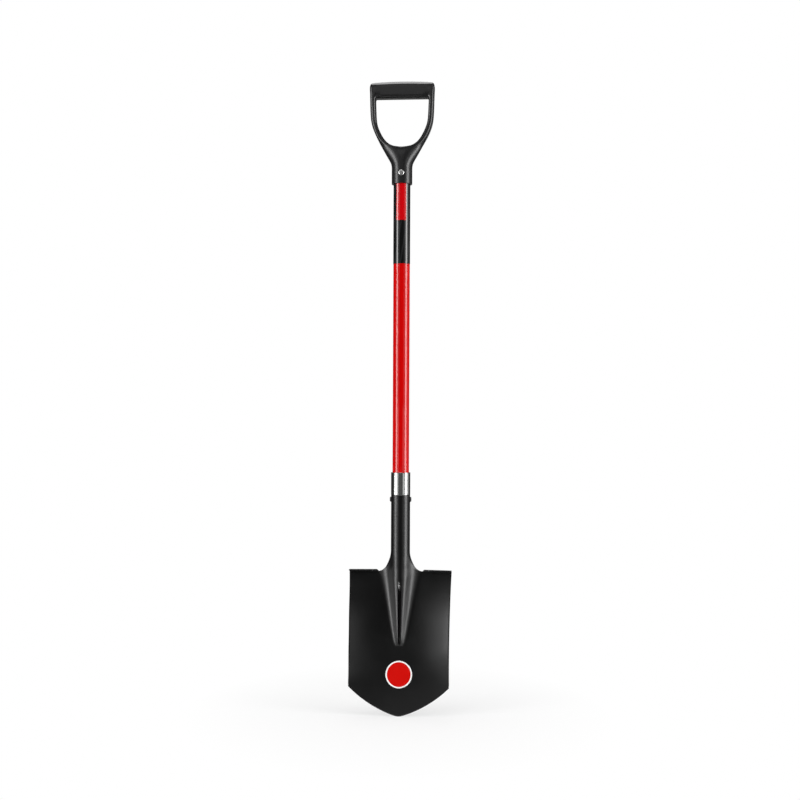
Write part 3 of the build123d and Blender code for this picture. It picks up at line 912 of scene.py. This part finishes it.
def grip_stations(sizes):
    """Rows of the grip's right front quarter, from the socket's foot round the arm to mid bar.

    In millimetres: outer end and inner end in the front view. Rows of socket and yoke add half
    depth and how square the section is; rows of the bar, their edges, and at its corner a place
    for the lip's edge.
    """
    mm = 0.001
    shrink = 0.9886    # by which subdivision draws a round section in
    socket = sizes.socket / mm / shrink
    deep = sizes.half_depth / mm
    edge, lip, fall = sizes.arm_round / mm, sizes.lip / mm, sizes.lip_fall / mm
    # Rounding of an edge, how far in its middle lies, and the lip's width and fall
    rounded = (edge, 0.29, lip, fall)
    turning = (edge * 1.4, 0.29, lip, fall)
    bevelled = (sizes.bar_bevel / mm, 0.5, lip * 0.9, fall * 1.2)
    socket_levels = (-163.0, -162.2, -150.0, -138.0, -129.5)
    yoke_rows = [((socket, level), (0, level), socket, 0.0) for level in socket_levels] + [
        ((21.0, -123.5), (0, -122.0), socket, 0.0),
        ((24.9, -116.3), (0, -114.0), socket, 0.0),
        ((29.6, -108.7), (0, -106.5), socket - 0.2, 0.0),
        ((34.0, -101.0), (0, -100.0), socket - 1.0, 0.0),
        ((38.2, -93.4), (0, -93.5), socket - 3.0, 0.10),
        ((41.2, -87.8), (10.0, -93.0), deep + 2.1, 0.28),
        ((43.9, -82.4), (19.0, -90.4), deep + 0.9, 0.50),
        ((46.6, -77.0), (26.8, -85.6), deep + 0.3, 0.75),
    ]
    arm_rows = [
        ((49.6, -70.6), (33.6, -78.2)),
        ((52.7, -63.8), (39.0, -69.2)),
        ((55.8, -55.6), (44.2, -58.2)),
        ((58.2, -46.6), (47.8, -48.0)),
        ((59.5, -37.0), (49.2, -37.5)),
        ((60.2, -25.0), (49.7, -25.0)),
        ((60.6, -12.0), (50.2, -13.0)),
        ((60.9, 0.0), (50.4, -6.5)),
    ]
    bar_rows = [
        ((61.3, 11.0), (50.4, -2.6), turning, (53.4, 1.2)),
        ((61.9, 21.0), (50.1, -0.4), turning, (48.6, 9.8)),
        ((60.5, 27.4), (47.9, 0.0), turning, (45.6, 4.6)),
        ((55.6, 29.1), (43.0, 0.0), bevelled, None),
        ((40.0, 30.0), (33.0, 0.0), bevelled, None),
        ((20.0, 30.75), (17.0, 0.0), bevelled, None),
        ((0, 31.0), (0, 0.0), bevelled, None),
    ]
    table = [(*row, rounded, None) for row in yoke_rows]
    table += [(*row, deep, 1.0, rounded, None) for row in arm_rows]
    table += [(*row[:2], deep, 1.0, *row[2:]) for row in bar_rows]
    rows = []
    for outer, inner, depth, square, (edge, bulge, lip, fall), corner in table:
        across = Vector(inner) - Vector(outer)
        width = across.length
        steps = (0.0, 0.0, 0.0, bulge * edge, edge, width - lip, width)
        depths = (0.0, depth / 2, depth - edge, depth - bulge * edge, depth, depth, depth - fall)
        lip_column = len(steps) - 2
        row = []
        for column, (step, back) in enumerate(zip(steps, depths)):
            turn = pi / 2 * (1 - column / (len(steps) - 1))
            spot = Vector(outer) + across * blend(1 - sin(turn), step / width, square)
            if corner and column == lip_column:
                spot = Vector(corner)
            row.append(Vector((spot.x, -blend(cos(turn) * depth, back, square), spot.y)) * mm)
        rows.append(row)
    return rows


def grow(piece, rows):
    """Extrudes the open piece's edges along the first row of points, row by row to the last."""
    for before, after in zip(rows, rows[1:]):
        pick(piece, "verts", lambda v: any((v.co - spot).length < SAME_SPOT for spot in before))
        bpy.ops.mesh.extrude_region_move()
        mesh = bmesh.from_edit_mesh(piece.data)
        for vertex in (v for v in mesh.verts if v.select):
            place = min(range(len(before)), key=lambda index: (vertex.co - before[index]).length)
            vertex.co = after[place]
        bmesh.update_edit_mesh(piece.data)


class SPADE_OT_grip(bpy.types.Operator):
    """Moulded D grip: socket, yoke, arms and cross bar"""

    bl_idname = "spade.grip"
    bl_label = "Grip"

    def execute(self, context):
        sizes = context.scene.spade_grip
        rows = grip_stations(sizes)
        foot = rows[0]
        bpy.ops.mesh.primitive_circle_add(vertices=24, radius=foot[0].x, location=(0, 0, foot[0].z))
        piece = named("grip_moulding")
        open_edit(piece)
        pick(piece, "verts", lambda v: v.co.x < -SEAM or v.co.y > SEAM)
        bpy.ops.mesh.delete(type="VERT")
        grow(piece, rows)
        opening_floor = -0.0936
        lip = [row[-1] for row in rows if row[-1].z > opening_floor]
        grow(piece, [lip] + [[Vector((spot.x, spot.y * part, spot.z)) for spot in lip] for part in (0.5, 0.0)])
        ratio = sizes.bore / foot[0].x
        rim = [Vector((spot.x * ratio, spot.y * ratio, spot.z)) for spot in foot]
        guards = [[spot.lerp(hole, part) for spot, hole in zip(foot, rim)] for part in (0.12, 0.9)]
        grow(piece, [foot, *guards, rim, [spot + Vector((0, 0, sizes.bore_depth)) for spot in rim]])
        front_edge, lip_edge, bar_rows = 4, 5, 4
        for column in (front_edge, lip_edge):
            line = [row[column] for row in rows[-bar_rows:]]
            pick(piece, "edges", lambda e: all(min((v.co - spot).length for spot in line) < SAME_SPOT for v in e.verts))
            bpy.ops.transform.edge_crease(value=sizes.crispness)
        close_edit()
        modifier(piece, "MIRROR", use_axis=(True, True, False), merge_threshold=SEAM)
        face_outwards(piece)
        modifier(piece, "SUBSURF", levels=sizes.smoothing)
        black = plain_finish("Grip plastic", context.scene.spade_finishes.plastic, 0.8, 1.25)
        settle(piece, 60, black, "d_grip")
        return {"FINISHED"}


class SPADE_OT_screw(bpy.types.Operator):
    """Pan head screw with a cross recess"""

    bl_idname = "spade.screw"
    bl_label = "Grip screw"

    def execute(self, context):
        sizes = context.scene.spade_fixings
        level = (SCREW_LOW.z + SCREW_HIGH.z) / 2
        radius = SCREW_HIGH.x
        front, back = SCREW_LOW.y, SCREW_HIGH.y
        seat = front + sizes.screw_head
        bpy.ops.mesh.primitive_cylinder_add(
            vertices=48, radius=radius, depth=seat - front, location=(0, (front + seat) / 2, level),
            rotation=(pi / 2, 0, 0)
        )
        piece = named("grip_screw_head")
        round_rims(piece, sizes.screw_dome, 6, lambda spot: spot.y < front + SEAM)
        open_edit(piece)
        pick(piece, "faces", lambda f: f.normal.y > 0.9)
        bpy.ops.mesh.inset(thickness=radius - sizes.screw_shank)
        bpy.ops.mesh.extrude_region_move(TRANSFORM_OT_translate={"value": (0, back - seat, 0)})
        close_edit()
        slot = (0.0052, 0.0030, 0.0011)    # length, twice the depth, and width
        for turn in (sizes.screw_turn, sizes.screw_turn + pi / 2):
            bpy.ops.mesh.primitive_cube_add(size=1, location=(0, front, level), rotation=(0, turn, 0), scale=slot)
            cutter = named("recess")
            modifier(piece, "BOOLEAN", operation="DIFFERENCE", object=cutter)
            bpy.data.objects.remove(cutter)
        zinc = plain_finish("Screw zinc", context.scene.spade_finishes.zinc, 0.88, 1.0, metallic=1.0)
        settle(piece, 35, zinc, "grip_screw")
        return {"FINISHED"}


class SPADE_OT_stage(bpy.types.Operator):
    """Floor, backdrop, lamps and camera"""

    bl_idname = "spade.stage"
    bl_label = "Stage"

    def lamp(self, name, azimuth, height, away, size, radiance, aim):
        """Rectangular lamp whose face is radiance times as bright as white."""
        data = bpy.data.lights.new(name, "AREA")
        data.shape = "RECTANGLE"
        data.size, data.size_y = size
        data.energy = 4 * data.size * data.size_y * radiance
        lamp = bpy.data.objects.new(name, data)
        bpy.context.scene.collection.objects.link(lamp)
        turn = radians(azimuth)
        lamp.location = Vector((sin(turn) * away, -cos(turn) * away, height))
        lamp.rotation_euler = (Vector((0, 0, aim)) - lamp.location).to_track_quat("-Z", "Y").to_euler()

    def seen_white(self, near, mask):
        """Factor by which a ray sees plain white: camera rays everywhere, mirrored rays in the mask."""
        path = node(near, "ShaderNodeLightPath").outputs
        mirrored_ray = math_node("MAXIMUM", path["Is Glossy Ray"], path["Is Transmission Ray"])
        return math_node("MAXIMUM", path["Is Camera Ray"], product(mirrored_ray, mask))

    def pale_floor(self, settings):
        """Pale floor that keeps a soft shadow and runs out into plain white."""
        made, shader, place = material("Pale floor")
        fill(shader, {"Base Color": rgba(settings.floor), "Roughness": 0.9, "Specular IOR Level": 0.0})
        spot = parts_of(place)
        near, far = 0.05, settings.floor_radius * 0.9
        white = span(distance(spot["X"], spot["Y"]), near, far, settings.floor_white, 1.0)
        glow = node(place, "ShaderNodeEmission")
        seen = product(self.seen_white(place, 1.0), white)
        mixed = node(place, "ShaderNodeMixShader", {0: seen, 1: shader.outputs[0], 2: glow.outputs[0]})
        fill(made.node_tree.nodes["Material Output"], {"Surface": mixed.outputs[0]})
        return made

    def surroundings(self, settings):
        """Dim studio, plain white to the camera and, in mirrored rays, behind the object."""
        world = bpy.data.worlds.new("Surroundings")
        world.use_nodes = True
        tree = world.node_tree
        direction = node(tree, "ShaderNodeTexCoord").outputs["Generated"]
        behind = span(parts_of(direction)["Y"], 0.96, 1.0, 0.0, 1.0)
        shade = mix_colours(self.seen_white(tree, behind), rgba([settings.world] * 3), rgba((1, 1, 1)))
        fill(tree.nodes["Background"], {"Color": shade})
        return world

    def execute(self, context):
        scene = context.scene
        settings = scene.spade_stage
        bpy.ops.mesh.primitive_circle_add(
            vertices=96, radius=settings.floor_radius, fill_type="NGON", location=(0, 0, CAD_BOX[0].z)
        )
        floor = named("floor")
        floor.data.materials.append(self.pale_floor(settings))
        scene.world = self.surroundings(settings)
        for row in LAMPS:
            self.lamp(*row)

        data = bpy.data.cameras.new("camera")
        data.lens = settings.lens
        camera = bpy.data.objects.new("camera", data)
        scene.collection.objects.link(camera)
        aim = Vector((settings.aim_x, 0, settings.aim_z))
        back = Vector((sin(settings.azimuth), -cos(settings.azimuth), 0))
        camera.location = aim + back * settings.distance
        camera.rotation_euler = (-back).to_track_quat("-Z", "Y").to_euler()
        camera.rotation_euler.rotate_axis("Z", settings.roll)
        scene.camera = camera
        scene.view_settings.view_transform = "Standard"
        return {"FINISHED"}


class SPADE_PT_panel(bpy.types.Panel):
    """Spade pieces in the sidebar"""

    bl_idname = "SPADE_PT_panel"
    bl_label = "Digging spade"
    bl_space_type = "VIEW_3D"
    bl_region_type = "UI"
    bl_category = "Spade"

    def draw(self, context):
        for operator in OPERATORS:
            self.layout.operator(operator.bl_idname)
        for name, group in GROUPS.items():
            box = self.layout.box()
            for key in group.__annotations__:
                box.prop(getattr(context.scene, name), key)


GROUPS = {
    "spade_blade": BladeSizes,
    "spade_grip": GripSizes,
    "spade_fixings": FixingSizes,
    "spade_finishes": Finishes,
    "spade_stage": StageSettings,
}
OPERATORS = (SPADE_OT_stage, SPADE_OT_blade, SPADE_OT_sticker, SPADE_OT_ferrule, SPADE_OT_rivet, SPADE_OT_shaft,
             SPADE_OT_grip, SPADE_OT_screw)
CLASSES = (*GROUPS.values(), *OPERATORS, SPADE_PT_panel)


def register():
    for item in CLASSES:
        bpy.utils.register_class(item)
    for name, group in GROUPS.items():
        setattr(bpy.types.Scene, name, PointerProperty(type=group))


def unregister():
    for name in GROUPS:
        delattr(bpy.types.Scene, name)
    for item in reversed(CLASSES):
        bpy.utils.unregister_class(item)


def main():
    register()
    deselect()
    bpy.ops.spade.stage()
    bpy.ops.spade.blade()
    bpy.ops.spade.sticker()
    bpy.ops.spade.ferrule()
    bpy.ops.spade.rivet()
    bpy.ops.spade.shaft()
    bpy.ops.spade.grip()
    bpy.ops.spade.screw()
    deselect()


if __name__ == "__main__":
    main()
